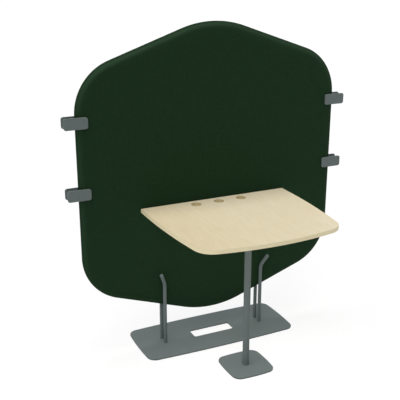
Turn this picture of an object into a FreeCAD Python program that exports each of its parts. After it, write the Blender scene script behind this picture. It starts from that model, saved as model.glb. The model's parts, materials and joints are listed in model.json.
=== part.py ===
import FreeCAD, Part
import os
import re

import Sketcher

# A single desk with a tall upholstered screen along its back edge.
# Millimetres. X runs along the screen, +Y points to its back and +Z up. The floor is z = 0 and the origin
# lies under the middle of the footprint. Pieces are drawn about the screen's middle plane and then set back
# together.

Vector = FreeCAD.Vector
Rotation = FreeCAD.Rotation

doc = FreeCAD.newDocument("desk_with_privacy_screen")
sheet = doc.addObject("Spreadsheet::Sheet", "dims")

dimensions = {
    # The screen is the outline round six circles: one at each point and one at each shoulder.
    "screen_width": 1346,
    "screen_thickness": 30,
    "screen_centre": 866,
    "screen_setback": 244,
    "apex_radius": 488.5,
    "apex_rise": 231,
    "shoulder_radius": 248,
    "shoulder_rise": 337,
    "rim_width": 32,
    "rim_tip": 6,
    "board_inset": 14,
    "board_thickness": 12,
    "insert_radius": 4.5,
    "insert_length": 10,
    # The base plate and the small foot plate have bowed sides and rounded corners.
    "plate_thickness": 6,
    "base_width": 820,
    "base_depth": 336,
    "base_end_radius": 1750,
    "base_side_radius": 8400,
    "base_corner": 45,
    "slot_width": 222,
    "slot_depth": 70,
    "slot_corner": 10,
    "glide_thickness": 1.5,
    "glide_radius": 15,
    "base_glide_x": 350,
    "base_glide_y": 120,
    # The uprights are bent bars in front of and behind the screen.
    "upright_x": 270,
    "upright_radius": 9,
    "upright_bend_start": 316,
    "upright_bend_radius": 60,
    "upright_bend_angle": 31,
    "upright_end": 56,
    "upright_tip": 4,
    "clamp_low": 262,
    "clamp_high": 300,
    "clamp_radius": 3,
    "clamp_head_radius": 5,
    "clamp_head_height": 6,
    "clamp_depth": 12,
    "clamp_socket": 2.9,
    "socket_depth": 2.5,
    "base_screw_radius": 4,
    "base_screw_head": 8,
    "base_screw_cone": 4,
    "base_screw_length": 22,
    # The desk top has a straight back edge, bowed sides, a bowed front and three holes.
    "desk_height": 740,
    "desk_thickness": 18,
    "desk_gap": 8,
    "desk_reach": 656,
    "desk_width": 768,
    "desk_straight": 80,
    "desk_side_radius": 3100,
    "desk_front_radius": 1420,
    "desk_corner": 92,
    "desk_back_corner": 4,
    "band_thickness": 2,
    "band_round": 1.2,
    "hole_radius": 25,
    "hole_spacing": 120,
    "hole_inset": 50,
    # Steel angles carry the back of the desk top on the screen.
    "bracket_x": 260,
    "bracket_width": 80,
    "bracket_height": 60,
    "bracket_reach": 80,
    "bracket_thickness": 3,
    "bracket_hole": 25,
    "bracket_drop": 40,
    "bracket_screw_reach": 65,
    "bracket_bolt_length": 20,
    "bracket_head_radius": 5.25,
    "bracket_head_height": 3.3,
    "wood_screw_radius": 2,
    "wood_screw_length": 16,
    "wood_screw_head": 4,
    "wood_screw_cap": 2.4,
    # One tube carries the front of the desk top.
    "leg_setback": 132,
    "leg_radius": 16,
    "leg_wall": 2,
    "flange_radius": 55,
    "flange_thickness": 4,
    "flange_pitch": 29,
    "plug_height": 24,
    "foot_bolt_radius": 5,
    "foot_bolt_head": 10,
    "foot_bolt_cone": 5,
    "foot_bolt_length": 18,
    "foot_width": 220,
    "foot_side_radius": 760,
    "foot_corner": 40,
    "foot_glide_offset": 75,
    # Link clips grip the screen's side edge with one half and leave the other half open for a neighbour.
    # Their screws and pins clear the screen's edge and stand a lead outward of the plates' middle.
    "clip_width": 110,
    "clip_height": 53,
    "clip_corner": 11,
    "clip_thickness": 6,
    "clip_edge": 1.2,
    "clip_clearance": 3.3,
    "clip_lead": 3,
    "clip_upper": 1174,
    "clip_lower": 845,
    "pad_thickness": 4,
    "pad_width": 16,
    "pad_height": 44,
    "pad_inset": 2,
    "jaw_gap": 0.3,
    "running_gap": 0.05,
    "clip_screw_radius": 2.5,
    "clip_screw_length": 45.5,
    "clip_head_radius": 4.25,
    "clip_head_height": 3,
    "clip_head_room": 0.25,
    "clip_socket": 1.7,
    "clip_socket_depth": 1.6,
    "clip_thread": 5,
    "pin_radius": 2,
    "pin_pitch": 18,
    "pin_depth": 4,
    "pin_room": 0.5,
}
for row, (alias, length) in enumerate(dimensions.items(), start=1):
    sheet.set(f"A{row}", alias)
    sheet.set(f"B{row}", str(length))
    sheet.setAlias(f"B{row}", alias)
doc.recompute()

nodes = []


# Sizes are written as text in the sheet's own words, such as "screen_width / 2".
def bound(text):
    return re.sub(r"\b[a-z]+(_[a-z]+)+\b", lambda word: "dims." + word.group(), text)


def size(text):
    return float(sheet.evalExpression(text))


def bind(item, **sizes):
    for name, text in sizes.items():
        item.setExpression(name, bound(text))
    return item


ways = {
    "+z": Rotation(),
    "-z": Rotation(Vector(1, 0, 0), 180),
    "+y": Rotation(Vector(1, 0, 0), -90),
    "-y": Rotation(Vector(1, 0, 0), 90),
}
opposite = {"+z": "-z", "-z": "+z", "+y": "-y", "-y": "+y"}


def place(item, at, turn=Rotation()):
    item.Placement = FreeCAD.Placement(Vector(), turn)
    for axis, text in zip("xyz", at):
        item.setExpression("Placement.Base." + axis, bound(text))
    return item


def along(at, way, distance):
    moved = list(at)
    index = "xyz".index(way[1])
    moved[index] = f"{at[index]} {way[0]} ({distance})"
    return tuple(moved)


def box(length, width, height, at):
    item = doc.addObject("Part::Box", "box")
    bind(item, Length=length, Width=width, Height=height)
    return place(item, at)


def cylinder(radius, height, at, way="+z"):
    item = doc.addObject("Part::Cylinder", "cylinder")
    bind(item, Radius=radius, Height=height)
    return place(item, at, ways[way])


def cone(radius, end_radius, height, at, way="+z"):
    item = doc.addObject("Part::Cone", "cone")
    bind(item, Radius1=radius, Radius2=end_radius, Height=height)
    return place(item, at, ways[way])


def hexagon(radius, height, at, way="+z"):
    item = doc.addObject("Part::Prism", "hexagon")
    item.Polygon = 6
    bind(item, Circumradius=radius, Height=height)
    return place(item, at, ways[way])


def fuse(shapes):
    item = doc.addObject("Part::MultiFuse", "fusion")
    item.Shapes = shapes
    return item


def cut(base, tools):
    item = doc.addObject("Part::Cut", "cut")
    item.Base = base
    item.Tool = tools[0] if len(tools) == 1 else fuse(tools)
    return item


def group(pieces):
    item = doc.addObject("Part::Compound", "group")
    item.Links = pieces
    return item


# Every sub-part is finished here: it gets its name and is set back with the screen.
def node(name, item, x="0", z="0"):
    item.Label = name
    nodes.append(place(item, (x, "screen_setback", z)))
    return item


# Screws are given by their seat, under the head, and the way that the shank points.
def screw(head, cap, shank, length, at, way, socket=None, depth=None):
    top = along(at, opposite[way], cap)
    whole = fuse([cylinder(head, cap, at, opposite[way]), cylinder(shank, length, at, way)])
    if socket is None:
        return whole
    return cut(whole, [hexagon(socket, depth, top, way)])


def flat_screw(head, cap, shank, length, at, way):
    return fuse([
        cone(head, shank, cap, at, way),
        cylinder(shank, length, along(at, way, cap), way),
    ])


def new_body(name):
    return doc.addObject("PartDesign::Body", name)


def sketch_on(body, role, lift=None):
    sketch = body.newObject("Sketcher::SketchObject", "sketch")
    plane = next(item for item in body.Origin.OriginFeatures if item.Role == role)
    sketch.AttachmentSupport = (plane, [""])
    sketch.MapMode = "FlatFace"
    if lift:
        sketch.setExpression("AttachmentOffset.Base.z", bound(lift))
    return sketch


def limit(sketch, text, kind, *ends):
    index = sketch.addConstraint(Sketcher.Constraint(kind, *ends, size(text)))
    sketch.setExpression(f"Constraints[{index}]", bound(text))


# A point is held from the sketch's origin, along one axis.
def hold(sketch, geometry, point, axis, text):
    distance = size(text)
    if distance == 0:
        line = {"X": -2, "Y": -1}[axis]
        sketch.addConstraint(Sketcher.Constraint("PointOnObject", geometry, point, line))
    elif distance > 0:
        limit(sketch, text, "Distance" + axis, -1, 1, geometry, point)
    else:
        limit(sketch, f"-({text})", "Distance" + axis, geometry, point, -1, 1)


# The centre of an arc that touches two larger arcs from inside, on the left of the way between them.
def nested_centre(before, after, radius):
    reach = before[1] - radius
    other = after[1] - radius
    step = after[0] - before[0]
    forward = (reach ** 2 - other ** 2 + step.Length ** 2) / (2 * step.Length)
    sideways = (reach ** 2 - forward ** 2) ** 0.5
    ahead = Vector(step).normalize()
    return before[0] + ahead * forward + Vector(-ahead.y, ahead.x, 0) * sideways


# Where one arc leaves for the next: both ends of a tangent line, or one shared point of two touching arcs.
def joint(first, second, touching):
    step = second[0] - first[0]
    ahead = Vector(step).normalize()
    if touching:
        outward = ahead if first[1] > second[1] else ahead * -1
        point = first[0] + outward * first[1]
        return point, point
    lean = (first[1] - second[1]) / step.Length
    outward = ahead * lean + Vector(ahead.y, -ahead.x, 0) * (1 - lean ** 2) ** 0.5
    return first[0] + outward * first[1], second[0] + outward * second[1]


# A closed, smooth outline, anticlockwise, through arcs given by centre and radius. Lines join arcs that
# have a centre; an arc without one is a corner that touches its two neighbours. The first edge leads to
# the first arc.
def outline(sketch, arcs):
    count = len(arcs)
    circles = [x and (Vector(size(x), size(y), 0), size(radius)) for x, y, radius in arcs]
    for index, (x, y, radius) in enumerate(arcs):
        if x is None:
            centre = nested_centre(circles[index - 1], circles[(index + 1) % count], size(radius))
            circles[index] = (centre, size(radius))
    touching = [None in (arcs[index - 1][0], arcs[index][0]) for index in range(count)]
    joints = [joint(circles[index - 1], circles[index], touching[index]) for index in range(count)]
    run = []
    for index, (x, y, radius) in enumerate(arcs):
        if not touching[index]:
            run.append(sketch.addGeometry(Part.LineSegment(*joints[index])))
        centre, length = circles[index]
        first = joints[index][1] - centre
        last = joints[(index + 1) % count][0] - centre
        turn = Vector(1, 0, 0)
        start = turn.getAngle(first) * (1 if first.y >= 0 else -1)
        sweep = first.getAngle(last)
        circle = Part.Circle(centre, Vector(0, 0, 1), length)
        arc = sketch.addGeometry(Part.ArcOfCircle(circle, start, start + sweep))
        run.append(arc)
        limit(sketch, radius, "Radius", arc)
        if x is not None:
            hold(sketch, arc, 3, "X", x)
            hold(sketch, arc, 3, "Y", y)
    for first, second in zip(run, run[1:] + run[:1]):
        sketch.addConstraint(Sketcher.Constraint("Tangent", first, 2, second, 1))


def pad(body, sketch, length, side="One side"):
    feature = body.newObject("PartDesign::Pad", "pad")
    feature.Profile = sketch
    feature.SideType = side
    return bind(feature, Length=length)


def sweep(body, profile, path):
    feature = body.newObject("PartDesign::AdditivePipe", "sweep")
    feature.Profile = profile
    feature.Spine = (path, [f"Edge{index + 1}" for index in range(path.GeometryCount)])
    return feature


# Rounds the edges of a feature that a test picks out.
def round_edges(body, feature, radius, wanted):
    doc.recompute()
    names = [f"Edge{index}" for index, edge in enumerate(feature.Shape.Edges, start=1) if wanted(edge)]
    rounding = body.newObject("PartDesign::Fillet", "rounding")
    rounding.Base = (feature, names)
    return bind(rounding, Radius=radius)


def lies_at(axis, level):
    return lambda edge: all(abs(getattr(vertex.Point, axis) - level) < 1e-4 for vertex in edge.Vertexes)


# A rounded rectangle about the sketch's origin.
def rectangle(width, depth, corner):
    x = f"{width} / 2 - {corner}"
    y = f"{depth} / 2 - {corner}"
    return [(f"-({x})", f"-({y})", corner), (x, f"-({y})", corner), (x, y, corner), (f"-({x})", y, corner)]


# A rectangle with bowed sides: long gentle arcs, with a corner arc between each two.
def bowed_rectangle(width, depth, end_radius, side_radius, corner):
    x = f"{width} / 2 - {end_radius}"
    y = f"{depth} / 2 - {side_radius}"
    turn = (None, None, corner)
    return [
        (f"-({x})", "0", end_radius), turn,
        ("0", f"-({y})", side_radius), turn,
        (x, "0", end_radius), turn,
        ("0", y, side_radius), turn,
    ]


# The screen's outline, drawn in by an inset. It starts with the straight left side.
def screen_outline(inset):
    x = "screen_width / 2 - shoulder_radius"
    low = "screen_centre - shoulder_rise"
    high = "screen_centre + shoulder_rise"
    shoulder = f"shoulder_radius - {inset}"
    apex = f"apex_radius - {inset}"
    return [
        (f"-({x})", low, shoulder),
        ("0", "screen_centre - apex_rise", apex),
        (x, low, shoulder),
        (x, high, shoulder),
        ("0", "screen_centre + apex_rise", apex),
        (f"-({x})", high, shoulder),
    ]


# The desk top's outline, drawn in by an inset.
def desk_outline(inset):
    back = "-(screen_thickness / 2 + desk_gap)"
    corner = (
        "desk_width / 2 - desk_back_corner", f"{back} - desk_back_corner", f"desk_back_corner - {inset}",
    )
    side = ("desk_width / 2 - desk_side_radius", f"{back} - desk_straight", f"desk_side_radius - {inset}")
    front = ("0", "desk_front_radius - desk_reach", f"desk_front_radius - {inset}")
    turn = (None, None, f"desk_corner - {inset}")
    return [
        (f"-({corner[0]})", *corner[1:]),
        (f"-({side[0]})", *side[1:]), turn,
        front, turn,
        side,
        corner,
    ]


# Half of the padding: a slab as deep as half the screen, with a soft rim swept round it.
def padding_half(name):
    body = new_body(name)
    face = sketch_on(body, "XZ_Plane")
    outline(face, screen_outline("rim_width"))
    pad(body, face, "screen_thickness / 2")
    path = sketch_on(body, "XZ_Plane")
    outline(path, screen_outline("rim_width"))
    rim = sketch_on(body, "XY_Plane", "screen_centre + shoulder_rise")
    width = size("rim_width")
    depth = size("screen_thickness / 2")
    tip = size("rim_tip")
    inner = size("rim_width - screen_width / 2")
    flank = ((width - tip) ** 2 + depth ** 2 - tip ** 2) / (2 * (depth - tip))
    tip_centre = Vector(inner - width + tip, 0, 0)
    flank_centre = Vector(inner, flank - depth, 0)
    meeting = flank_centre + (tip_centre - flank_centre).normalize() * flank
    start = Vector(inner, 0, 0)
    edge = Vector(inner - width, 0, 0)
    end = Vector(inner, -depth, 0)
    upward = Vector(0, 0, 1)
    tip_circle = Part.Circle(tip_centre, upward, tip)
    flank_circle = Part.Circle(flank_centre, upward, flank)
    middle = rim.addGeometry(Part.LineSegment(start, edge))
    nose = rim.addGeometry(Part.ArcOfCircle(tip_circle, *map(tip_circle.parameter, (edge, meeting))))
    cheek = rim.addGeometry(Part.ArcOfCircle(flank_circle, *map(flank_circle.parameter, (meeting, end))))
    back = rim.addGeometry(Part.LineSegment(end, start))
    rim.addConstraint(Sketcher.Constraint("Coincident", middle, 2, nose, 1))
    rim.addConstraint(Sketcher.Constraint("Tangent", nose, 2, cheek, 1))
    rim.addConstraint(Sketcher.Constraint("Coincident", cheek, 2, back, 1))
    rim.addConstraint(Sketcher.Constraint("Coincident", back, 2, middle, 1))
    hold(rim, middle, 1, "Y", "0")
    hold(rim, middle, 1, "X", "rim_width - screen_width / 2")
    hold(rim, middle, 2, "Y", "0")
    hold(rim, middle, 2, "X", "-screen_width / 2")
    hold(rim, nose, 3, "Y", "0")
    rim.addConstraint(Sketcher.Constraint("Vertical", back))
    rim.addConstraint(Sketcher.Constraint("Vertical", cheek, 3, middle, 1))
    limit(rim, "rim_tip", "Radius", nose)
    limit(rim, "screen_thickness / 2", "Distance", back)
    sweep(body, rim, path)
    return body


# A flat plate with a given outline, drawn on the floor plane and raised.
def flat_plate(name, arcs, thickness, bottom):
    body = new_body(name)
    sketch = sketch_on(body, "XY_Plane", bottom)
    outline(sketch, arcs)
    pad(body, sketch, thickness)
    return body


plate_top = "glide_thickness + plate_thickness"
face = "screen_thickness / 2"
sides = {"left": "-", "right": ""}
faces = {"front": "-", "rear": ""}

# Screen: a board between two soft halves.
board = new_body("board")
board_sketch = sketch_on(board, "XZ_Plane")
outline(board_sketch, screen_outline("board_inset"))
pad(board, board_sketch, "board_thickness", "Symmetric")

# The clamp bolts pass through the uprights and the screen between them.
clamp_heights = ("clamp_low", "clamp_high")
clamp_points = [(f"{sign}upright_x", height) for sign in sides.values() for height in clamp_heights]
upright_y = f"{face} + upright_radius"
clamp_seat = f"{upright_y} + upright_radius - clamp_head_height"
clamp_length = f"{clamp_seat} + {face} + clamp_depth"


def clamp_bores():
    return [
        cylinder("clamp_radius", "screen_thickness", (x, f"-({face})", z), "+y") for x, z in clamp_points
    ]


# The bracket bolts reach threaded inserts in the board.
bracket_points = [
    (f"{sign}bracket_x {offset} bracket_hole", "desk_height - desk_thickness - bracket_drop")
    for sign in sides.values() for offset in "+-"
]
insert_front = "-board_thickness / 2"
inserts = [
    cut(
        cylinder("insert_radius", "insert_length", (x, insert_front, z), "+y"),
        [cylinder("clamp_radius", "insert_length", (x, insert_front, z), "+y")],
    )
    for x, z in bracket_points
]
insert_bores = [
    cylinder("insert_radius", "insert_length", (x, insert_front, z), "+y") for x, z in bracket_points
]
bolt_bores = [
    cylinder("clamp_radius", face, (x, f"-({face})", z), "+y") for x, z in bracket_points
]
node("screen_board", cut(board, clamp_bores() + insert_bores))
node("screen_board_inserts", group(inserts))
node("screen_front_padding", cut(padding_half("front_half"), [board] + clamp_bores() + bolt_bores))
rear_half = padding_half("rear_half")
rear_half.Placement = FreeCAD.Placement(Vector(), Rotation(Vector(0, 0, 1), 180))
node("screen_rear_padding", cut(rear_half, [board] + clamp_bores()))

# Base: a plate on glides, with a slot, screwed up into the four uprights.
upright_points = [
    (f"{side_sign}upright_x", f"{face_sign}({upright_y})")
    for face_sign in faces.values() for side_sign in sides.values()
]
base_screws = [
    flat_screw("base_screw_head", "base_screw_cone", "base_screw_radius", "base_screw_length",
               (x, y, "glide_thickness"), "+z")
    for x, y in upright_points
]
base = flat_plate(
    "base",
    bowed_rectangle("base_width", "base_depth", "base_end_radius", "base_side_radius", "base_corner"),
    "plate_thickness", "glide_thickness",
)
slot = flat_plate(
    "slot", rectangle("slot_width", "slot_depth", "slot_corner"), "plate_thickness", "glide_thickness",
)
node("base_plate", cut(base, [slot] + base_screws))
node("upright_base_screws", group(base_screws))
base_glides = [
    cylinder("glide_radius", "glide_thickness", (x, y, "0"))
    for x in ("-base_glide_x", "0", "base_glide_x") for y in ("-base_glide_y", "base_glide_y")
]
node("base_glides", group(base_glides))


# One bent bar, standing at its own origin and bending towards +X.
def upright_bar(name):
    body = new_body(name)
    path = sketch_on(body, "XZ_Plane")
    rise = size(f"upright_bend_start - ({plate_top})")
    radius = size("upright_bend_radius")
    angle = size("upright_bend_angle")
    knee = Vector(0, rise, 0)
    hub = Vector(radius, rise, 0)
    turned = hub + Rotation(Vector(0, 0, 1), -angle).multVec(Vector(-radius, 0, 0))
    ahead = Rotation(Vector(0, 0, 1), -angle).multVec(Vector(0, 1, 0))
    shaft = path.addGeometry(Part.LineSegment(Vector(), knee))
    circle = Part.Circle(hub, Vector(0, 0, 1), radius)
    bend = path.addGeometry(Part.ArcOfCircle(circle, circle.parameter(turned), circle.parameter(knee)))
    end = path.addGeometry(Part.LineSegment(turned, turned + ahead * size("upright_end")))
    path.addConstraint(Sketcher.Constraint("Coincident", shaft, 1, -1, 1))
    path.addConstraint(Sketcher.Constraint("Vertical", shaft))
    path.addConstraint(Sketcher.Constraint("Tangent", shaft, 2, bend, 2))
    path.addConstraint(Sketcher.Constraint("Tangent", bend, 1, end, 1))
    limit(path, f"upright_bend_start - ({plate_top})", "Distance", shaft)
    limit(path, "upright_bend_radius", "Radius", bend)
    limit(path, "upright_end", "Distance", end)
    lean = path.addConstraint(
        Sketcher.Constraint("Angle", -1, 1, end, 1, FreeCAD.Units.Quantity(f"{90 - angle} deg"))
    )
    path.setExpression(f"Constraints[{lean}]", bound("(90 - upright_bend_angle) * 1 deg"))
    section = sketch_on(body, "XY_Plane")
    ring = section.addGeometry(Part.Circle(Vector(), Vector(0, 0, 1), size("upright_radius")))
    section.addConstraint(Sketcher.Constraint("Coincident", ring, 3, -1, 1))
    limit(section, "upright_radius", "Radius", ring)
    bar = sweep(body, section, path)
    round_edges(body, bar, "upright_tip", lambda edge: edge.Closed and edge.BoundBox.ZMin > rise)
    return body


screw_end = "glide_thickness + base_screw_cone + base_screw_length"
bends = {("front", "left"): 225, ("front", "right"): 315, ("rear", "left"): 135, ("rear", "right"): 45}
for (face_name, side_name), angle in bends.items():
    x = f"{sides[side_name]}upright_x"
    y = f"{faces[face_name]}({upright_y})"
    turn = Rotation(Vector(0, 0, 1), angle)
    bar = place(upright_bar(f"{face_name}_{side_name}"), (x, y, plate_top), turn)
    foot = cylinder("base_screw_radius", screw_end, (x, y, "0"))
    if face_name == "front":
        bores = [cylinder("clamp_radius", "clamp_depth", (x, f"-({face})", z), "-y") for z in clamp_heights]
    else:
        bores = [cylinder("clamp_radius", "2 * upright_radius", (x, face, z), "+y") for z in clamp_heights]
        bores += [
            cylinder("clamp_head_radius", "clamp_head_height", (x, clamp_seat, z), "+y")
            for z in clamp_heights
        ]
    node(f"{face_name}_{side_name}_upright", cut(bar, [foot] + bores))

clamp_bolts = [
    screw("clamp_head_radius", "clamp_head_height", "clamp_radius", clamp_length,
          (x, clamp_seat, z), "-y", "clamp_socket", "socket_depth")
    for x, z in clamp_points
]
node("upright_clamp_bolts", group(clamp_bolts))

# Desk top: a board with three holes, and a band round its edge.
desk_bottom = "desk_height - desk_thickness"
desk_back = f"-({face} + desk_gap)"
leg_y = "-(screen_setback + leg_setback)"
bracket_screw_points = [
    (f"{sign}bracket_x {offset} bracket_hole", f"-({face} + bracket_screw_reach)")
    for sign in sides.values() for offset in "+-"
]
flange_points = [
    (f"{x_sign}flange_pitch", f"{leg_y} {y_sign} flange_pitch") for x_sign in ("-", "") for y_sign in "+-"
]


def wood_screws(points, seat):
    return [
        screw("wood_screw_head", "wood_screw_cap", "wood_screw_radius", "wood_screw_length",
              (x, y, seat), "+z")
        for x, y in points
    ]


bracket_seat = f"{desk_bottom} - bracket_thickness"
flange_seat = f"{desk_bottom} - flange_thickness"
bracket_screws = wood_screws(bracket_screw_points, bracket_seat)
flange_screws = wood_screws(flange_points, flange_seat)
desk_holes = [
    cylinder("hole_radius", "desk_thickness", (x, f"{desk_back} - hole_inset", desk_bottom))
    for x in ("-hole_spacing", "0", "hole_spacing")
]
desk_core = flat_plate("desk_core", desk_outline("band_thickness"), "desk_thickness", desk_bottom)
node("desk_top_board", cut(desk_core, desk_holes + bracket_screws + flange_screws))

desk_whole = flat_plate("desk_whole", desk_outline("0"), "desk_thickness", desk_bottom)
top_level = size("desk_height")
bottom_level = size(desk_bottom)
at_top = lies_at("z", top_level)
at_bottom = lies_at("z", bottom_level)
round_edges(desk_whole, desk_whole.Tip, "band_round", lambda edge: at_top(edge) or at_bottom(edge))
node("desk_edge_band", cut(desk_whole, [desk_core]))

# Brackets: one steel angle on each side, bolted to the screen and screwed to the desk top.
for side_name, sign in sides.items():
    left_end = f"{sign}bracket_x - bracket_width / 2"
    upright_leaf = box("bracket_width", "bracket_thickness", "bracket_height",
                       (left_end, f"-({face} + bracket_thickness)", f"{desk_bottom} - bracket_height"))
    level_leaf = box("bracket_width", "bracket_reach", "bracket_thickness",
                     (left_end, f"-({face} + bracket_reach)", bracket_seat))
    holes = [
        cylinder("clamp_radius", "bracket_thickness", (x, f"-({face})", z), "-y") for x, z in bracket_points
    ]
    holes += [
        cylinder("wood_screw_radius", "bracket_thickness", (x, y, bracket_seat))
        for x, y in bracket_screw_points
    ]
    node(f"{side_name}_desk_bracket", cut(fuse([upright_leaf, level_leaf]), holes))
node("bracket_wood_screws", group(bracket_screws))
bracket_bolts = [
    screw("bracket_head_radius", "bracket_head_height", "clamp_radius", "bracket_bolt_length",
          (x, f"-({face} + bracket_thickness)", z), "+y", "clamp_socket", "socket_depth")
    for x, z in bracket_points
]
node("bracket_screen_bolts", group(bracket_bolts))

# Leg: a tube between a top flange and a foot plate.
leg_height = f"{flange_seat} - ({plate_top})"
foot_bolt = flat_screw("foot_bolt_head", "foot_bolt_cone", "foot_bolt_radius", "foot_bolt_length",
                       ("0", leg_y, "glide_thickness"), "+z")
leg_bore = "leg_radius - leg_wall"
node("leg_tube", cut(
    cylinder("leg_radius", leg_height, ("0", leg_y, plate_top)),
    [cylinder(leg_bore, leg_height, ("0", leg_y, plate_top))],
))
node("leg_foot_plug", cut(cylinder(leg_bore, "plug_height", ("0", leg_y, plate_top)), [foot_bolt]))
node("leg_top_flange", cut(
    cylinder("flange_radius", "flange_thickness", ("0", leg_y, flange_seat)),
    [cylinder("wood_screw_radius", "flange_thickness", (x, y, flange_seat)) for x, y in flange_points],
))
node("leg_flange_screws", group(flange_screws))
foot = flat_plate(
    "foot",
    bowed_rectangle("foot_width", "foot_width", "foot_side_radius", "foot_side_radius", "foot_corner"),
    "plate_thickness", "glide_thickness",
)
foot.setExpression("Placement.Base.y", bound(leg_y))
node("leg_foot_plate", cut(foot, [foot_bolt]))
node("leg_foot_bolt", group([foot_bolt]))
foot_glides = [
    cylinder("glide_radius", "glide_thickness", (f"{x_sign}foot_glide_offset",
             f"{leg_y} {y_sign} foot_glide_offset", "0"))
    for x_sign in ("-", "") for y_sign in "+-"
]
node("leg_foot_glides", group(foot_glides))


# A clip's plate, drawn about the clip's centre, its inner face to the screen and its outer edges rounded.
def clip_plate(name, outward):
    body = new_body(name)
    sketch = sketch_on(body, "XZ_Plane", f"{face} + pad_thickness")
    outline(sketch, rectangle("clip_width", "clip_height", "clip_corner"))
    plate = pad(body, sketch, "clip_thickness")
    outer = lies_at("y", -size(f"{face} + pad_thickness + clip_thickness"))
    round_edges(body, plate, "clip_edge", outer)
    body.Placement = FreeCAD.Placement(Vector(), Rotation(Vector(0, 0, 1), outward))
    return body


def clip_pads(front, depth):
    inner = "-clip_width / 2 + pad_inset"
    outer = "clip_width / 2 - pad_inset - pad_width"
    return [box("pad_width", depth, "pad_height", (x, front, "-pad_height / 2")) for x in (inner, outer)]


inner_face = f"{face} + pad_thickness"
clip_bore = "clip_screw_radius + running_gap"
pin_end = f"{inner_face} + pin_depth"
pin_heights = ("-pin_pitch", "pin_pitch")
jaw_seat = f"{inner_face} + clip_thickness - clip_head_height - clip_head_room"
clip_x = "screen_width / 2 + clip_clearance - clip_lead"
levels = {"upper": "clip_upper", "lower": "clip_lower"}
front_pads = []
guide_pins = []
for level_name, height in levels.items():
    for side_name, sign in sides.items():
        name = f"{level_name}_{side_name}_clip"
        x = f"{sign}({clip_x})"
        lead = f"{sign}clip_lead"
        thread = cylinder(clip_bore, "clip_thread", (lead, f"-({inner_face})", "0"), "-y")
        pin_holes = [
            cylinder("pin_radius", "pin_depth", (lead, f"-({inner_face})", z), "-y") for z in pin_heights
        ]
        node(f"{name}_front_plate", cut(clip_plate(name + "_front", 0), [thread] + pin_holes), x, height)
        bore = cylinder(clip_bore, "clip_thickness", (lead, inner_face, "0"), "+y")
        recess = cylinder("clip_head_radius + clip_head_room", "clip_thickness", (lead, jaw_seat, "0"), "+y")
        guides = [
            cylinder("pin_radius + running_gap", "pin_depth + pin_room", (lead, inner_face, z), "+y")
            for z in pin_heights
        ]
        node(f"{name}_rear_jaw", cut(clip_plate(name + "_rear", 180), [bore, recess] + guides), x, height)
        clip_screw = screw("clip_head_radius", "clip_head_height", "clip_screw_radius", "clip_screw_length",
                           (lead, jaw_seat, "0"), "-y", "clip_socket", "clip_socket_depth")
        node(f"{name}_screw", group([clip_screw]), x, height)
        jaw_pads = clip_pads(f"{face} + jaw_gap", "pad_thickness - jaw_gap")
        node(f"{name}_jaw_pads", group(jaw_pads), x, height)
        pins = group([
            cylinder("pin_radius", f"2 * ({pin_end})", (lead, f"-({pin_end})", z), "+y") for z in pin_heights
        ])
        pads = group(clip_pads(f"-({inner_face})", "pad_thickness"))
        guide_pins.append(place(pins, (x, "0", height)))
        front_pads.append(place(pads, (x, "0", height)))
node("clip_guide_pins", group(guide_pins))
node("clip_front_pads", group(front_pads))

doc.recompute()

# Nothing is written unless every piece came out whole.
for item in doc.Objects:
    if "Invalid" in item.State or "Error" in item.State:
        raise RuntimeError(f"{item.Name} ({item.Label}) failed: {item.State}")
for item in nodes:
    if item.Shape.isNull() or not item.Shape.isValid() or not item.Shape.Solids:
        raise RuntimeError(f"{item.Label} is not a sound solid")

os.makedirs("parts", exist_ok=True)
for item in nodes:
    item.Shape.exportStep(f"parts/{item.Label}.step")
    extent = item.Shape.BoundBox
    print(f"{item.Label}: {len(item.Shape.Solids)} solids, {item.Shape.Volume / 1000:.1f} cm3, "
          f"x {extent.XMin:.1f} to {extent.XMax:.1f}, y {extent.YMin:.1f} to {extent.YMax:.1f}, "
          f"z {extent.ZMin:.1f} to {extent.ZMax:.1f}")
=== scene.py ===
import json
import math

import bmesh
import bpy
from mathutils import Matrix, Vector

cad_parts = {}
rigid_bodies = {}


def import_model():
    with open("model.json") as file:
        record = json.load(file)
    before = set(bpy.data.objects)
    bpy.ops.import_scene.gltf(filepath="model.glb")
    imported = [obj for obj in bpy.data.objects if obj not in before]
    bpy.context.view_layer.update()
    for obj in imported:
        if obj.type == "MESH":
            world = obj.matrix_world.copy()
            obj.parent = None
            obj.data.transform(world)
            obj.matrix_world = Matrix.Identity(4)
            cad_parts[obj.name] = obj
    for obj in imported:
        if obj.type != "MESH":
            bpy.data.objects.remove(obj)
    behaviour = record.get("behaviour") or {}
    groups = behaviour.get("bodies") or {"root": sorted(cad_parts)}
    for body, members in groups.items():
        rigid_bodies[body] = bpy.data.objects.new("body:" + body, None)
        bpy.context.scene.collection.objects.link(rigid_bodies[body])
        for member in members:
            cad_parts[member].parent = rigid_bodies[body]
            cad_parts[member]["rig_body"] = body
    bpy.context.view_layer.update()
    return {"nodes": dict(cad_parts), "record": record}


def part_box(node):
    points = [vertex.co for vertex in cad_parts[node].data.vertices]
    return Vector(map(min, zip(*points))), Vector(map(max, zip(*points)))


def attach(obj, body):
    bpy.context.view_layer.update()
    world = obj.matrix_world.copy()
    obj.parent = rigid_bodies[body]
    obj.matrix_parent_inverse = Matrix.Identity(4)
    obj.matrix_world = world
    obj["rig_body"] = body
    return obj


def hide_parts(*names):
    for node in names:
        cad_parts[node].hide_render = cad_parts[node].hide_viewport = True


# A desk with a tall padded screen along its back edge, dressed for a studio picture.
# Sizes are in metres, but for those marked mm.
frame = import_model()
nodes = frame["nodes"]
slotOf = {part["node"]: part["material_slot"] for part in frame["record"]["subparts"]}
scene = bpy.context.scene


def linear(hexColour):  # sRGB hex to linear light
    channels = [int(hexColour[place:place + 2], 16) / 255 for place in (1, 3, 5)]
    return (*[
        value / 12.92 if value <= 0.04045 else ((value + 0.055) / 1.055) ** 2.4
        for value in channels
    ], 1)


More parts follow.
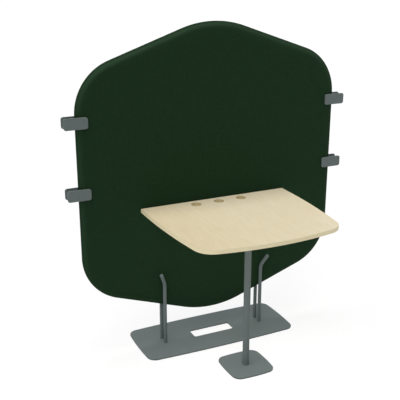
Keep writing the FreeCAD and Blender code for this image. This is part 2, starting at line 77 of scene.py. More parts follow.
def plug(tree, node, sources):  # links each socket to another node's, or sets it to a plain value
    for socket, source in sources.items():
        if isinstance(source, bpy.types.NodeSocket):
            tree.links.new(source, node.inputs[socket])
        else:
            node.inputs[socket].default_value = source


def addNode(tree, kind, sources=None, **settings):
    node = tree.nodes.new(kind)
    for name, setting in settings.items():
        setattr(node, name, setting)
    plug(tree, node, sources or {})
    return node


def startMaterial(name, sockets):
    material = bpy.data.materials.new(name)
    material.use_nodes = True
    tree = material.node_tree
    shader = tree.nodes["Principled BSDF"]
    plug(tree, shader, sockets)
    return material, tree, shader


def perMetre(millimetres):  # how often a pattern of that size repeats in a metre
    return 1000 / millimetres


def stretchedNoise(tree, place, sizes, detail):  # patches of these sizes in millimetres
    scaled = addNode(tree, "ShaderNodeMapping", {
        "Vector": place, "Scale": [perMetre(size) for size in sizes],
    }).outputs["Vector"]
    return addNode(tree, "ShaderNodeTexNoise", {
        "Vector": scaled, "Scale": 1.0, "Detail": detail, "Roughness": 0.6, "Distortion": 0.4,
    }).outputs["Fac"]


# A mix node has its sockets for numbers, vectors and colours one after another, so they go by index.
mixFactor = 0
firstNumber, secondNumber, mixedNumber = 2, 3, 0
firstColour, secondColour, mixedColour = 6, 7, 2
noiseLow, noiseHigh = 0.3, 0.7  # most of a noise lies between these
wavePeriod = math.tau / 20  # a wave texture of scale 1 repeats after this length

# Wool cloth, plain woven and milled: matt dark green, each thread a little paler or darker along its
# length, and a painted highlight along the rim, strongest on the upper left, where light falls on it.
wool = {
    "thread": 5.0,  # mm between threads; the real 1.4 mm would not show, so they are drawn coarser
    "slub": 70.0,  # mm, how far a thread keeps its tone
    "fleck": 16.0,  # mm, patches where the dye took paler or darker
    "dark": "#182e1a",
    "pale": "#1e3922",
    "toneRange": (0.7, 1.3),  # slub and fleck added up, from dark to pale
    # painted highlight: the paler colour of the rim where light falls on it
    "paintedRimLight": "#314934",
    "hollow": 0.22,  # how much of the light is lost between the threads
    "relief": 0.0004,
    "sockets": {
        "Roughness": 0.92, "IOR": 1.5, "Specular IOR Level": 0.1,
        "Sheen Weight": 0.08, "Sheen Roughness": 0.5, "Sheen Tint": linear("#8f9f90"),
    },
}


def woolCloth():
    material, tree, shader = startMaterial("woolCloth", wool["sockets"])
    cut = addNode(tree, "ShaderNodeUVMap", uv_map="cut").outputs["UV"]
    threads = [
        addNode(tree, "ShaderNodeTexWave", {
            "Vector": cut, "Scale": wavePeriod * perMetre(wool["thread"]),
            "Distortion": 0.7, "Detail": 1.0, "Detail Scale": 0.6,
        }, wave_type="BANDS", bands_direction=way).outputs["Fac"]
        for way in "XY"
    ]
    over = addNode(tree, "ShaderNodeTexChecker", {
        "Vector": cut, "Scale": perMetre(wool["thread"]),
    }).outputs["Fac"]
    weave = addNode(tree, "ShaderNodeMix", {
        mixFactor: over, firstNumber: threads[0], secondNumber: threads[1],
    }).outputs[mixedNumber]
    slubs = [
        stretchedNoise(tree, cut, (across, along, across), detail=2.0)
        for across, along in ((wool["thread"], wool["slub"]), (wool["slub"], wool["thread"]))
    ]
    slub = addNode(tree, "ShaderNodeMix", {
        mixFactor: over, firstNumber: slubs[0], secondNumber: slubs[1],
    }).outputs[mixedNumber]
    fleck = addNode(tree, "ShaderNodeTexNoise", {
        "Vector": cut, "Scale": perMetre(wool["fleck"]), "Detail": 7.0, "Roughness": 0.72,
    }).outputs["Fac"]
    tone = addNode(tree, "ShaderNodeMath", {0: slub, 1: fleck}, operation="ADD").outputs[0]
    darkest, palest = wool["toneRange"]
    share = addNode(tree, "ShaderNodeMapRange", {
        "Value": tone, "From Min": darkest, "From Max": palest,
    }).outputs[0]
    dyed = addNode(tree, "ShaderNodeMix", {
        mixFactor: share, firstColour: linear(wool["dark"]), secondColour: linear(wool["pale"]),
    }, data_type="RGBA").outputs[mixedColour]
    # painted highlight along the rim, brightest on the upper left
    rimLight = addNode(tree, "ShaderNodeAttribute", attribute_name="paintedRimLight").outputs["Fac"]
    rimLit = addNode(tree, "ShaderNodeMix", {
        mixFactor: rimLight, firstColour: dyed, secondColour: linear(wool["paintedRimLight"]),
    }, data_type="RGBA").outputs[mixedColour]
    woven = addNode(tree, "ShaderNodeMix", {
        mixFactor: wool["hollow"], firstColour: rimLit, secondColour: weave,
    }, data_type="RGBA", blend_type="MULTIPLY").outputs[mixedColour]
    relief = addNode(tree, "ShaderNodeBump", {
        "Strength": 0.5, "Distance": wool["relief"], "Height": weave,
    }).outputs["Normal"]
    plug(tree, shader, {"Base Color": woven, "Normal": relief})
    return material


# Maple laminate, pressed smooth and satin: pale cream, darker and warmer towards the left side, with a
# broad soft figure and fibre lines that run from front to back.
maple = {
    "ground": "#e0d4b8",
    "layers": {  # mm across and along the grain and through the board, and what shows of the noise
        "figure": {
            "size": (30.0, 170.0, 30.0), "detail": 3.0, "shows": (0.32, 0.68), "strength": 1.0,
            "colour": "#dccfb0",
        },
        "fibre": {  # the real fibres are a ninth as wide and would not show
            "size": (9.0, 70.0, 9.0), "detail": 4.0, "shows": (0.42, 0.75), "strength": 0.45,
            "colour": "#d0c3a0",
        },
        "pore": {
            "size": (3.0, 24.0, 3.0), "detail": 1.0, "shows": (0.66, 0.78), "strength": 0.25,
            "colour": "#d0c3a0",
        },
    },
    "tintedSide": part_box("desk_edge_band")[0].x,  # the tint is full at this side and fades out towards the middle
    "sideTint": "#faf7f0",
    "gloss": (0.42, 0.56),
    "relief": 0.0001,
    "sockets": {"IOR": 1.5, "Specular IOR Level": 0.35},
}


def mapleLaminate():
    material, tree, shader = startMaterial("mapleLaminate", maple["sockets"])
    place = addNode(tree, "ShaderNodeTexCoord").outputs["Object"]
    patterns = {
        name: stretchedNoise(tree, place, layer["size"], layer["detail"])
        for name, layer in maple["layers"].items()
    }
    colour = linear(maple["ground"])
    for name, layer in maple["layers"].items():
        faint, full = layer["shows"]
        share = addNode(tree, "ShaderNodeMapRange", {
            "Value": patterns[name], "From Min": faint, "From Max": full, "To Max": layer["strength"],
        }).outputs[0]
        colour = addNode(tree, "ShaderNodeMix", {
            mixFactor: share, firstColour: colour, secondColour: linear(layer["colour"]),
        }, data_type="RGBA").outputs[mixedColour]
    across = addNode(tree, "ShaderNodeSeparateXYZ", {"Vector": place}).outputs["X"]
    towardsTintedSide = addNode(tree, "ShaderNodeMapRange", {
        "Value": across, "From Min": 0.0, "From Max": maple["tintedSide"],
    }).outputs[0]
    sideTinted = addNode(tree, "ShaderNodeMix", {
        mixFactor: towardsTintedSide, firstColour: colour, secondColour: linear(maple["sideTint"]),
    }, data_type="RGBA", blend_type="MULTIPLY").outputs[mixedColour]
    smooth, rough = maple["gloss"]
    gloss = addNode(tree, "ShaderNodeMapRange", {
        "Value": patterns["fibre"], "To Min": smooth, "To Max": rough,
    }).outputs[0]
    relief = addNode(tree, "ShaderNodeBump", {
        "Strength": 0.2, "Distance": maple["relief"], "Height": patterns["fibre"],
    }).outputs["Normal"]
    plug(tree, shader, {"Base Color": sideTinted, "Roughness": gloss, "Normal": relief})
    return material


# Edge band, cut from maple along the grain: paler and yellower than the top, painted light on its upright
# faces, with lines that run round the desk, and painted shade along its rounded upper edge, darker where
# the normal points up.
band = {
    "line": (420.0, 420.0, 2.2),  # mm, long round the desk and thin up its edge
    # paler than the top's maple: painted light that brightens the band's upright faces
    "pale": "#f0e6c4",
    "dark": "#e7d7ac",
    # painted shade on the rounded upper edge, where the normal points up
    "paintedEdgeShade": "#d9d7ce",
    "edgeShadeSlope": (0.1, 0.7),  # how far up the normal points, from no painted shade to full
    "gloss": (0.4, 0.55),
    "relief": 0.0001,
    "sockets": {"IOR": 1.5, "Specular IOR Level": 0.35},
}


def mapleBand():
    material, tree, shader = startMaterial("mapleBand", band["sockets"])
    surface = addNode(tree, "ShaderNodeTexCoord").outputs
    fibre = stretchedNoise(tree, surface["Object"], band["line"], detail=5.0)
    share = addNode(tree, "ShaderNodeMapRange", {
        "Value": fibre, "From Min": noiseLow, "From Max": noiseHigh,
    }).outputs[0]
    colour = addNode(tree, "ShaderNodeMix", {
        mixFactor: share, firstColour: linear(band["pale"]), secondColour: linear(band["dark"]),
    }, data_type="RGBA").outputs[mixedColour]
    upward = addNode(tree, "ShaderNodeSeparateXYZ", {"Vector": surface["Normal"]}).outputs["Z"]
    upright, rounded = band["edgeShadeSlope"]
    edge = addNode(tree, "ShaderNodeMapRange", {
        "Value": upward, "From Min": upright, "From Max": rounded,
    }).outputs[0]
    # darker where the normal points up: painted shade
    paintedEdgeShade = addNode(tree, "ShaderNodeMix", {
        mixFactor: edge, firstColour: colour, secondColour: linear(band["paintedEdgeShade"]),
    }, data_type="RGBA", blend_type="MULTIPLY").outputs[mixedColour]
    smooth, rough = band["gloss"]
    gloss = addNode(tree, "ShaderNodeMapRange", {
        "Value": fibre, "To Min": smooth, "To Max": rough,
    }).outputs[0]
    relief = addNode(tree, "ShaderNodeBump", {
        "Strength": 0.25, "Distance": band["relief"], "Height": fibre,
    }).outputs["Normal"]
    plug(tree, shader, {"Base Color": paintedEdgeShade, "Roughness": gloss, "Normal": relief})
    return material


# Speckled finishes share one recipe: two tones of grain, in mm, an uneven gloss and a slight relief.
speckled = {
    # Steel with sprayed and baked polyester powder: even mid grey, a shade green, with a fine orange peel.
    "powderCoat": {
        "grain": 3.5, "dark": "#5c6664", "pale": "#687272", "gloss": (0.66, 0.78), "relief": 0.00012,
        "sockets": {"IOR": 1.5, "Specular IOR Level": 0.4},
    },
    # The same powder on the plates' cut edges, darker: painted shade on their upright walls.
    "shadedWallPowderCoat": {
        "grain": 3.5, "dark": "#434b49", "pale": "#4d5453", "gloss": (0.5, 0.68), "relief": 0.00012,
        "sockets": {"IOR": 1.5, "Specular IOR Level": 0.4},
    },
    # Steel plated with bright zinc: a cool metal with a faint cloudy spangle.
    "zincPlate": {
        "grain": 2.5, "dark": "#9aa0a4", "pale": "#c2c7ca", "gloss": (0.28, 0.42), "relief": 0.00003,
        "sockets": {"Metallic": 1.0},
    },
    # Brass, turned and left bare: yellow metal with fine dull patches.
    "turnedBrass": {
        "grain": 1.5, "dark": "#a9853f", "pale": "#cda85e", "gloss": (0.3, 0.45), "relief": 0.00003,
        "sockets": {"Metallic": 1.0},
    },
    # Moulded grey rubber: matt, with a dusty bloom, and paler than the powder coat: painted light that
    # lifts the pads out of the shade between the clip plates.
    "mouldedRubber": {
        "grain": 2.0, "dark": "#626b6a", "pale": "#707978", "gloss": (0.75, 0.9), "relief": 0.0001,
        "sockets": {"IOR": 1.52, "Specular IOR Level": 0.3},
    },
    # Moulded polyethylene: black and waxy, scuffed on the floor.
    "mouldedPolyethylene": {
        "grain": 4.0, "dark": "#1b1c1d", "pale": "#2a2c2d", "gloss": (0.4, 0.6), "relief": 0.00006,
        "sockets": {"IOR": 1.51},
    },
    # Wood fibre board, drilled: fuzzy tan walls inside the holes and behind the band.
    "drilledFibreBoard": {
        "grain": 2.5, "dark": "#b6a378", "pale": "#cab88c", "gloss": (0.8, 0.95), "relief": 0.0003,
        "sockets": {"IOR": 1.5, "Specular IOR Level": 0.15},
    },
}


def speckledMaterial(name):
    finish = speckled[name]
    material, tree, shader = startMaterial(name, finish["sockets"])
    place = addNode(tree, "ShaderNodeTexCoord").outputs["Object"]
    grain = addNode(tree, "ShaderNodeTexNoise", {
        "Vector": place, "Scale": perMetre(finish["grain"]), "Detail": 3.0, "Roughness": 0.6,
    }).outputs["Fac"]
    share = addNode(tree, "ShaderNodeMapRange", {
        "Value": grain, "From Min": noiseLow, "From Max": noiseHigh,
    }).outputs[0]
    colour = addNode(tree, "ShaderNodeMix", {
        mixFactor: share, firstColour: linear(finish["dark"]), secondColour: linear(finish["pale"]),
    }, data_type="RGBA").outputs[mixedColour]
    smooth, rough = finish["gloss"]
    gloss = addNode(tree, "ShaderNodeMapRange", {
        "Value": grain, "To Min": smooth, "To Max": rough,
    }).outputs[0]
    relief = addNode(tree, "ShaderNodeBump", {
        "Strength": 0.6, "Distance": finish["relief"], "Height": grain,
    }).outputs["Normal"]
    plug(tree, shader, {"Base Color": colour, "Roughness": gloss, "Normal": relief})
    return material


# Birch plywood, sanded: tan, with flat veins along the sheet and dark glue lines through its thickness.
ply = {
    "veneer": 1.4,  # mm
    "vein": (12.0, 12.0, 200.0),  # mm, long up the board
    "pale": "#d0b184",
    "dark": "#b48f5c",
    "glue": "#6d4d2c",
    "glueShare": 0.12,  # of the wave that draws each veneer
    "sockets": {"Roughness": 0.7, "IOR": 1.5},
}


def birchPly():
    material, tree, shader = startMaterial("birchPly", ply["sockets"])
    place = addNode(tree, "ShaderNodeTexCoord").outputs["Object"]
    vein = stretchedNoise(tree, place, ply["vein"], detail=4.0)
    layer = addNode(tree, "ShaderNodeTexWave", {
        "Vector": place, "Scale": wavePeriod * perMetre(ply["veneer"]), "Distortion": 0.3,
    }, wave_type="BANDS", bands_direction="Y").outputs["Fac"]
    glued = addNode(tree, "ShaderNodeMapRange", {
        "Value": layer, "From Min": ply["glueShare"], "From Max": 0.0,
    }).outputs[0]
    wood = addNode(tree, "ShaderNodeMix", {
        mixFactor: vein, firstColour: linear(ply["pale"]), secondColour: linear(ply["dark"]),
    }, data_type="RGBA").outputs[mixedColour]
    colour = addNode(tree, "ShaderNodeMix", {
        mixFactor: glued, firstColour: wood, secondColour: linear(ply["glue"]),
    }, data_type="RGBA").outputs[mixedColour]
    plug(tree, shader, {"Base Color": colour})
    return material


finishes = {
    "upholstery": woolCloth(),
    "plywood": birchPly(),
    "maple_laminate": mapleLaminate(),
    "maple_edge_band": mapleBand(),
    "grey_powder_coat": speckledMaterial("powderCoat"),
    "zinc_steel": speckledMaterial("zincPlate"),
    "brass": speckledMaterial("turnedBrass"),
    "grip_rubber": speckledMaterial("mouldedRubber"),
    "glide_plastic": speckledMaterial("mouldedPolyethylene"),
}
for name, node in nodes.items():
    node.material_slots[0].material = finishes[slotOf[name]]
print("materials:", ", ".join(material.name for material in finishes.values()))


def finishPiece(piece, body, slot, *replaced):
    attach(piece, body)
    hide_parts(*replaced)


# Padded screen cover: two cloth panels over foam, sewn together round the edge.
cover = {
    "apexRadius": 0.4885,
    "shoulderRadius": 0.248,
    "shoulderRise": 0.337,  # the shoulder circles stand this far above and below the middle
    "rimWidth": 0.032,
    "noseRadius": 0.006,  # the rim is tightest at the seam
    "seamDepth": 0.0012,
    "seamHalf": 0.0012,  # along the cloth, from the seam to the edge of its groove
    "cells": 128,  # cloth cells across a panel
    "rimRows": 12,
    "swell": 0.0010,  # the cloth starts this far inside its final face
    "swellLimit": 0.0018,
    "pressed": 0.0001,  # room between the cloth and what presses on it
    "pressedDepth": 0.9,  # share of the full depth; things press only on cloth that is deeper
    "pressure": 4.0,
    "quality": 4,  # cloth steps in each frame
    "frames": 20,
    "barWidth": 0.018,
    "barTop": 0.316,  # the uprights lean away from the cloth above this height
    "heldRows": 2,  # the tight rim beside the seam keeps its shape
    "highlightPeak": 0.011,  # the painted rim highlight is brightest this far in from the seam
    "highlightFacing": Vector((-0.35, 0.94)).normalized(),  # the painted highlight is strongest on the rim that faces this way, towards the light
}
boardLow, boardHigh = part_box("screen_board")
coverLow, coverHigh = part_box("screen_front_padding")
midPlane = (boardLow.y + boardHigh.y) / 2
halfDepth = midPlane - coverLow.y
screenMiddle = Vector(((coverLow.x + coverHigh.x) / 2, (coverLow.z + coverHigh.z) / 2))


def coverOutline():  # gives the edge at a share of the way round it
    shoulder, apex = cover["shoulderRadius"], cover["apexRadius"]
    shoulderX = coverHigh.x - shoulder
    apexZ = coverHigh.z - screenMiddle.y - apex
    rise = cover["shoulderRise"]
    circles = [
        ((shoulderX, rise), shoulder), ((0, apexZ), apex), ((-shoulderX, rise), shoulder),
        ((-shoulderX, -rise), shoulder), ((0, -apexZ), apex), ((shoulderX, -rise), shoulder),
    ]
    circles = [(screenMiddle + Vector(centre), radius) for centre, radius in circles]
    outward = []  # across the line that joins each circle to the next
    for (centre, radius), (nextCentre, nextRadius) in zip(circles, circles[1:] + circles[:1]):
        step = nextCentre - centre
        ahead = step.normalized()
        lean = (radius - nextRadius) / step.length
        outward.append(ahead * lean + Vector((ahead.y, -ahead.x)) * math.sqrt(1 - lean ** 2))
    runs = []  # the length of each arc and straight, and what places a point on it
    for index, (centre, radius) in enumerate(circles):
        first, last = outward[index - 1], outward[index]
        start = math.atan2(first.y, first.x)
        turn = first.angle(last)
        runs.append((radius * turn, ("arc", centre, radius, start, turn)))
        nextCentre, nextRadius = circles[(index + 1) % len(circles)]
        begin, end = centre + last * radius, nextCentre + last * nextRadius
        runs.append(((end - begin).length, ("straight", begin, end, last)))
    total = sum(length for length, run in runs)
    halfSide = runs[-1][0] / 2  # shares count from the middle of the right side

    def edgeAt(share):  # a point of the edge, and the way out from it
        left = (share * total - halfSide) % total
        for length, run in runs:
            if left <= length:
                break
            left -= length
        if run[0] == "arc":
            centre, radius, start, turn = run[1:]
            angle = start + turn * left / length
            direction = Vector((math.cos(angle), math.sin(angle)))
            return centre + direction * radius, direction
        begin, end, direction = run[1:]
        return begin.lerp(end, left / length), direction

    return edgeAt


edgeAt = coverOutline()


# Row by row from the seam: how far in the cloth lies, how deep, and how far along it the flat face begins.
def rimProfile():
    width, nose = cover["rimWidth"], cover["noseRadius"]
    flank = ((width - nose) ** 2 + halfDepth ** 2 - nose ** 2) / (2 * (halfDepth - nose))
    meeting = math.atan2(flank - halfDepth, nose - width)
    noseLength = nose * (math.pi - meeting)
    length = noseLength + flank * (meeting - math.pi / 2)
    rows = cover["rimRows"]
    first = cover["seamHalf"]
    reaches = [0] + [first + (length - first) * row / (rows - 1) for row in range(rows)]
    profile = []
    for reach in reaches:
        if reach <= noseLength:
            angle = math.pi - reach / nose
            inset, depth = nose + nose * math.cos(angle), nose * math.sin(angle)
        else:
            angle = meeting - (reach - noseLength) / flank
            inset, depth = width + flank * math.cos(angle), halfDepth - flank + flank * math.sin(angle)
        profile.append((inset, depth, length - reach))
    profile[0] = (cover["seamDepth"], 0, length)
    return profile


def highlightAt(inset, outward):  # how bright the painted rim highlight is: none in the seam or on the flat face
    peak = cover["highlightPeak"]
    share = min(inset / peak, (cover["rimWidth"] - inset) / (cover["rimWidth"] - peak))
    facingLight = (1 + outward.dot(cover["highlightFacing"])) / 2
    return share * share * (3 - 2 * share) * facingLight ** 3  # eased in and out across the rim


def pressedPlaces():  # where something rests against the cloth: the side, and the span across and up
    places = []
    for side in ("left", "right"):
        for face, sign in (("front", -1), ("rear", 1)):
            low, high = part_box(f"{face}_{side}_upright")
            reach = cover["barWidth"] / 2
            inner = high.x - reach if side == "left" else low.x + reach
            places.append((sign, inner - reach, inner + reach, coverLow.z, cover["barTop"]))
        low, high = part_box(f"{side}_desk_bracket")
        places.append((-1, low.x, high.x, low.z, high.z))
    for level in ("upper", "lower"):
        for side in ("left", "right"):
            low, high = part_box(f"{level}_{side}_clip_jaw_pads")
            for sign in (-1, 1):
                places.append((sign, low.x, high.x, low.z, high.z))
    return places


def isPressed(sign, spot, depth, places):
    return depth > cover["pressedDepth"] * halfDepth and any(
        sign == side and low <= spot.x <= high and bottom <= spot.y <= top
        for side, low, high, bottom, top in places
    )


def roundRing(right, up, ring):  # share of the way round a square ring of cells, from its right side
    if ring == 0:
        return 0
    if right == ring:
        place = up
    elif up == ring:
        place = 2 * ring - right
    elif right == -ring:
        place = 4 * ring - up
    else:
        place = 6 * ring + right
    return (place / (8 * ring)) % 1


# Where a corner of a cloth cell lies, how deep, where it was on the flat cut, and how bright its painted
# rim highlight is.
def coverPoint(right, up, ring, profile):
    rings, rows = cover["cells"] // 2, cover["rimRows"]
    edge, outward = edgeAt(roundRing(right, up, ring))
    border = edge - outward * cover["rimWidth"]
    if rings - ring <= rows:
        inset, depth, reach = profile[rings - ring]
        return edge - outward * inset, depth, border + outward * reach, highlightAt(inset, outward)
    spot = screenMiddle.lerp(border, ring / (rings - rows))
    return spot, halfDepth, spot, 0


def coverMesh():
    cells = cover["cells"]
    rings = cells // 2
    profile = rimProfile()
    places = pressedPlaces()
    bm = bmesh.new()
    cutLayer = bm.loops.layers.uv.new("cut")
    # how bright the painted rim highlight is at each corner of the cloth
    paintedRimLightLayer = bm.verts.layers.float.new("paintedRimLight")
    points = {}
    flatPlace = {}
    held = []
    for sign in (-1, 1):
        for column in range(cells + 1):
            for row in range(cells + 1):
                right, up = column - rings, row - rings
                ring = max(abs(right), abs(up))
                if ring == rings and sign == 1:  # both panels share the seam
                    points[sign, column, row] = points[-1, column, row]
                    continue
                spot, depth, cut, paintedRimLight = coverPoint(right, up, ring, profile)
                pressed = isPressed(sign, spot, depth, places)
                if pressed:
                    depth -= cover["pressed"]
                elif ring < rings:
                    depth -= cover["swell"] * depth / halfDepth
                vertex = bm.verts.new((spot.x, midPlane + sign * depth, spot.y))
                vertex[paintedRimLightLayer] = paintedRimLight
                points[sign, column, row] = vertex
                flatPlace[vertex] = cut
                if pressed or rings - ring <= cover["heldRows"]:
                    held.append(vertex)
        for column in range(cells):
            for row in range(cells):
                corners = [(column, row), (column + 1, row), (column + 1, row + 1), (column, row + 1)]
                face = bm.faces.new([points[sign, *corner] for corner in corners[::-sign]])
                for loop in face.loops:
                    cut = flatPlace[loop.vert]
                    loop[cutLayer].uv = (cut.x * -sign, cut.y)
    bm.verts.index_update()
    heldIndices = [vertex.index for vertex in held]
    mesh = bpy.data.meshes.new("screen_cover")
    bm.to_mesh(mesh)
    bm.free()
    mesh.polygons.foreach_set("use_smooth", [True] * len(mesh.polygons))
    return mesh, heldIndices


def swellCloth(piece, heldIndices):  # the foam pushes the cloth out between the places that hold it
    group = piece.vertex_groups.new(name="held")
    group.add(heldIndices, 1.0, "REPLACE")
    cloth = piece.modifiers.new("cloth", "CLOTH")
    cloth.settings.quality = cover["quality"]
    cloth.settings.use_pressure = True
    cloth.settings.uniform_pressure_force = cover["pressure"]
    cloth.settings.vertex_group_mass = group.name
    cloth.settings.effector_weights.gravity = 0
    cloth.point_cache.frame_start = 1
    cloth.point_cache.frame_end = cover["frames"]
    for moment in range(1, cover["frames"] + 1):
        scene.frame_set(moment)
    moved = piece.evaluated_get(bpy.context.evaluated_depsgraph_get()).data
    limit = cover["swellLimit"]
    for vertex, after in zip(piece.data.vertices, moved.vertices):
        step = after.co - vertex.co
        if step.length > 0:
            vertex.co += step * (limit * math.tanh(step.length / limit) / step.length)
    piece.modifiers.remove(cloth)
    piece.vertex_groups.remove(group)
    scene.frame_set(1)


def makeCover():
    mesh, heldIndices = coverMesh()
    piece = bpy.data.objects.new("screen_cover", mesh)
    scene.collection.objects.link(piece)
    mesh.materials.append(finishes["upholstery"])
    swellCloth(piece, heldIndices)
    finishPiece(piece, "frame", "upholstery", "screen_front_padding", "screen_rear_padding")
    print("screen cover:", len(mesh.polygons), "cells")


makeCover()

# Rigid pieces keep their own shape and get the softened edges that cutting, bending and moulding leave.
softEdges = {  # the node that each piece stands for, and how wide its softened edges are
    "slotted_base_plate": ("base_plate", 0.0012),
    "leg_base_plate": ("leg_foot_plate", 0.0012),
    "leg_mounting_flange": ("leg_top_flange", 0.0008),
    "left_angle_bracket": ("left_desk_bracket", 0.0008),
    "right_angle_bracket": ("right_desk_bracket", 0.0008),
    "front_grip_pads": ("clip_front_pads", 0.0008),
    "desk_top_panel": ("desk_top_board", 0.0004),
    "desk_edge_strip": ("desk_edge_band", 0.0012),
    "base_floor_glides": ("base_glides", 0.0005),
    "leg_floor_glides": ("leg_foot_glides", 0.0005),
}
for level in ("upper", "lower"):
    for side in ("left", "right"):
        softEdges[f"{level}_{side}_grip_pads"] = (f"{level}_{side}_clip_jaw_pads", 0.0008)
outerOnly = ["desk_edge_strip"]  # its inner edges stay tight against the board
softening = {
    "weld": 1e-6,  # corners nearer than this are one
    "flat": math.radians(0.02),  # faces that meet flatter than this are one
    "sharp": math.radians(40),  # edges sharper than this are softened
    "segments": 3,
}


def facesOut(edge, middle):  # the steeper face beside the edge looks away from the middle
    wall = min(edge.link_faces, key=lambda face: abs(face.normal.z))
    return wall.normal.dot(edge.verts[0].co - middle) > 0


def soften(name, node, width):
    mesh = nodes[node].data.copy()
    mesh.name = name
    bm = bmesh.new()
    bm.from_mesh(mesh)
    bmesh.ops.remove_doubles(bm, verts=bm.verts, dist=softening["weld"])
    bmesh.ops.dissolve_limit(bm, angle_limit=softening["flat"], verts=bm.verts, edges=bm.edges)
    sharp = [
        edge for edge in bm.edges
        if edge.is_manifold and edge.calc_face_angle() > softening["sharp"]
    ]
    if name in outerOnly:
        low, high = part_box(node)
        sharp = [edge for edge in sharp if facesOut(edge, (low + high) / 2)]
    bmesh.ops.bevel(bm, geom=sharp, offset=width, segments=softening["segments"], profile=0.5,
                    affect="EDGES", clamp_overlap=True)
    bm.to_mesh(mesh)
    bm.free()
    mesh.attributes.remove(mesh.attributes["custom_normal"])  # they fit the sharp edges only
    mesh.polygons.foreach_set("use_smooth", [True] * len(mesh.polygons))
    piece = bpy.data.objects.new(name, mesh)
    scene.collection.objects.link(piece)
    piece.modifiers.new("flatNormals", "WEIGHTED_NORMAL").keep_sharp = True
    finishPiece(piece, nodes[node]["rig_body"], slotOf[node], node)


for name, (node, width) in softEdges.items():
    soften(name, node, width)
print("softened edges:", len(softEdges), "pieces")

# Upright walls of these pieces have a finish of their own.
wallFinishes = {
    "drilledFibreBoard": ["desk_top_panel"],
    # the plates' upright walls are painted darker: painted shade
    "shadedWallPowderCoat": ["slotted_base_plate", "leg_base_plate"],
}
wallSlope = 0.3  # a wall's normal points up or down by less than this


def finishWalls(mesh, material):
    mesh.materials.append(material)
    for face in mesh.polygons:
        if abs(face.normal.z) < wallSlope:
            face.material_index = len(mesh.materials) - 1


for finish, names in wallFinishes.items():
    material = speckledMaterial(finish)
    for name in names:
        finishWalls(bpy.data.objects[name].data, material)
print("wall finishes:", ", ".join(wallFinishes))

# Stage: a pale floor, a faint dome of light and three broad lamps: overhead, front and left.
stage = {
    "floorReach": 60.0,
    "floorBounce": "#ebebeb",  # what the floor throws back on the object
    "floorGlow": 0.74,  # the even white that the camera sees of the floor
    "floorWhite": "#8c8c8c",  # what the camera sees of its shading, added to the glow
    "sky": 0.1,
    "lamps": {  # in degrees: spread, tilt from overhead and turn from the front
        "topLamp": {"power": 1.92, "spread": 30.0, "tilt": 0.0, "turn": 0.0},
        "frontLamp": {"power": 0.9, "spread": 40.0, "tilt": 39.0, "turn": -30.0},
        "leftLamp": {"power": 0.8, "spread": 40.0, "tilt": 50.0, "turn": -88.0},
    },
    "passDesk": ["topLamp", "frontLamp"],  # the desk casts no shadow from these, as in a tent of light
    "deskPieces": ["desk_top_panel", "desk_edge_strip"],
}


def seenDirectly(tree):  # 1 where the camera looks, also in gloss and through glass
    path = addNode(tree, "ShaderNodeLightPath").outputs
    seen = addNode(tree, "ShaderNodeMath", {
        0: path["Is Camera Ray"], 1: path["Is Glossy Ray"],
    }, operation="ADD").outputs[0]
    return addNode(tree, "ShaderNodeMath", {
        0: seen, 1: path["Is Transmission Ray"],
    }, operation="ADD", use_clamp=True).outputs[0]


def paleFloor():
    material = bpy.data.materials.new("paleFloor")
    material.use_nodes = True
    tree = material.node_tree
    tree.nodes.clear()
    bounce = addNode(tree, "ShaderNodeBsdfDiffuse", {"Color": linear(stage["floorBounce"])})
    shade = addNode(tree, "ShaderNodeBsdfDiffuse", {"Color": linear(stage["floorWhite"])})
    glow = addNode(tree, "ShaderNodeEmission", {"Strength": stage["floorGlow"]})
    looks = addNode(tree, "ShaderNodeAddShader", {0: shade.outputs[0], 1: glow.outputs[0]})
    either = addNode(tree, "ShaderNodeMixShader", {
        0: seenDirectly(tree), 1: bounce.outputs[0], 2: looks.outputs[0],
    })
    addNode(tree, "ShaderNodeOutputMaterial", {"Surface": either.outputs[0]})
    return material


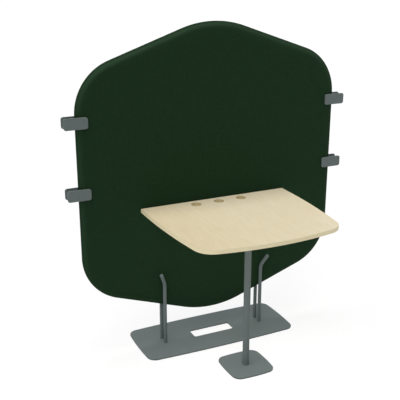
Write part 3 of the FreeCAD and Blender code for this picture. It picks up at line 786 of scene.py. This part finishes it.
def makeFloor():
    reach = stage["floorReach"]
    mesh = bpy.data.meshes.new("floor")
    corners = [(-reach, -reach, 0), (reach, -reach, 0), (reach, reach, 0), (-reach, reach, 0)]
    mesh.from_pydata(corners, [], [(0, 1, 2, 3)])
    mesh.materials.append(paleFloor())
    floor = bpy.data.objects.new("floor", mesh)
    scene.collection.objects.link(floor)


def makeDome():
    world = bpy.data.worlds.new("softDome")
    scene.world = world
    world.use_nodes = True
    tree = world.node_tree
    tree.nodes.clear()
    dome = addNode(tree, "ShaderNodeBackground", {"Color": (1, 1, 1, 1), "Strength": stage["sky"]})
    white = addNode(tree, "ShaderNodeBackground", {"Color": (1, 1, 1, 1), "Strength": 1.0})
    either = addNode(tree, "ShaderNodeMixShader", {
        0: seenDirectly(tree), 1: dome.outputs[0], 2: white.outputs[0],
    })
    addNode(tree, "ShaderNodeOutputWorld", {"Surface": either.outputs[0]})


def makeLamps():
    desk = bpy.data.collections.new("desk")
    for name in stage["deskPieces"]:
        desk.objects.link(bpy.data.objects[name])
    for member in desk.collection_objects:
        member.light_linking.link_state = "EXCLUDE"
    for name, settings in stage["lamps"].items():
        lamp = bpy.data.lights.new(name, "SUN")
        lamp.energy = settings["power"]
        lamp.angle = math.radians(settings["spread"])
        holder = bpy.data.objects.new(name, lamp)
        holder.rotation_euler = (math.radians(settings["tilt"]), 0, math.radians(settings["turn"]))
        scene.collection.objects.link(holder)
        if name in stage["passDesk"]:
            holder.light_linking.blocker_collection = desk


# The camera stands where the photograph was taken from.
view = {
    "location": (-1.5332, -2.8997, 1.9100),
    "lookDown": 18.7615,  # degrees below level
    "turn": -25.0126,  # degrees, to the right where below 0
    "focalPixels": 749.16,
    "imageWidth": 400,
    "sensorWidth": 36,  # mm
}


def makeCamera():
    lens = bpy.data.cameras.new("camera")
    lens.sensor_width = view["sensorWidth"]
    lens.lens = view["focalPixels"] / view["imageWidth"] * view["sensorWidth"]
    camera = bpy.data.objects.new("camera", lens)
    camera.location = view["location"]
    camera.rotation_euler = (math.radians(90 - view["lookDown"]), 0, math.radians(view["turn"]))
    scene.collection.objects.link(camera)
    scene.camera = camera


makeFloor()
makeDome()
makeLamps()
makeCamera()
scene.view_settings.view_transform = "Standard"
print("stage: floor, dome, lamps and camera")
